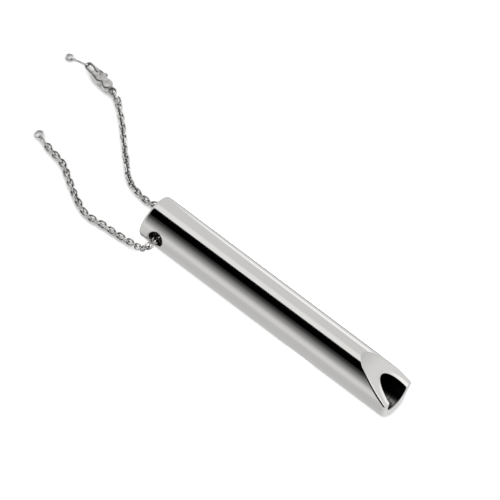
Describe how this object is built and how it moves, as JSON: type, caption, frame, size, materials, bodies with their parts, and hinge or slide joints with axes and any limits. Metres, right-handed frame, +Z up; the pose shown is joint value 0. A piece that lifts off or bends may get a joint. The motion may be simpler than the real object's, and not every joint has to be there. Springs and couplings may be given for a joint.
{
  "type": "training whistle",
  "caption": "Slim polished steel tube whistle with a slanted mouth, a cross hole for its cord, and a fine link chain ending in a hook clasp.",
  "frame": {"origin": "on the surface the whistle lies on, midway along the whistle, the chain and its clasp not counted", "axes": "+X along the whistle from its cord end to its mouth, +Y towards the side on which the clasp end of the chain lies, +Z up"},
  "size_m": [0.1054, 0.0289, 0.0102],
  "materials": {
    "polished_steel": "mirror polished stainless steel",
    "turned_steel": "turned stainless steel, unpolished",
    "seal_rubber": "black rubber",
    "chain_steel": "polished stainless steel wire",
    "clasp_steel": "polished cast stainless steel",
    "spring_steel": "drawn spring wire"
  },
  "bodies": {
    "whistle": {"whistle_body": "polished_steel", "windway_block": "turned_steel", "tuning_plug": "turned_steel", "tuning_seal": "seal_rubber", "cord_end_plug": "polished_steel", "chain_near": "chain_steel", "chain_far": "chain_steel", "near_end_link": "chain_steel", "far_end_link": "chain_steel"},
    "clasp_ring": {"clasp_ring": "chain_steel"},
    "clasp": {"clasp_body": "clasp_steel", "clasp_pin": "clasp_steel", "clasp_spring": "spring_steel"},
    "clasp_lever": {"clasp_lever": "clasp_steel"},
    "catch_ring": {"catch_ring": "chain_steel"},
    "tail_link": {"tail_link": "chain_steel"},
    "end_ring": {"end_ring": "chain_steel"}
  },
  "joints": [
    {"name": "clasp_ring_swing", "type": "hinge", "parent": "whistle", "child": "clasp_ring", "pos_m": [-0.05707, 0.01718, 0.0009], "axis": [0, 0, 1], "range_deg": [-20, 20]},
    {"name": "clasp_swing", "type": "hinge", "parent": "clasp_ring", "child": "clasp", "pos_m": [-0.05881, 0.01788, 0.00115], "axis": [0, 0, 1], "range_deg": [-25, 25]},
    {"name": "lever_pivot", "type": "hinge", "parent": "clasp", "child": "clasp_lever", "pos_m": [-0.0632, 0.01915, 0.00115], "axis": [0, 0, 1], "range_deg": [0, 15], "stiffness_Nm_per_rad": 0.0004, "springref_deg": -20.05},
    {"name": "catch_ring_swing", "type": "hinge", "parent": "clasp", "child": "catch_ring", "pos_m": [-0.0666, 0.01933, 0.00115], "axis": [0, 0, 1], "range_deg": [-20, 20]},
    {"name": "tail_link_swing", "type": "hinge", "parent": "catch_ring", "child": "tail_link", "pos_m": [-0.07089, 0.01858, 0.00061], "axis": [0, 0, 1], "range_deg": [-20, 20]},
    {"name": "end_ring_swing", "type": "hinge", "parent": "whistle", "child": "end_ring", "pos_m": [-0.06458, 0.00036, 0.0009], "axis": [0, 0, 1], "range_deg": [-30, 30]}
  ]
}
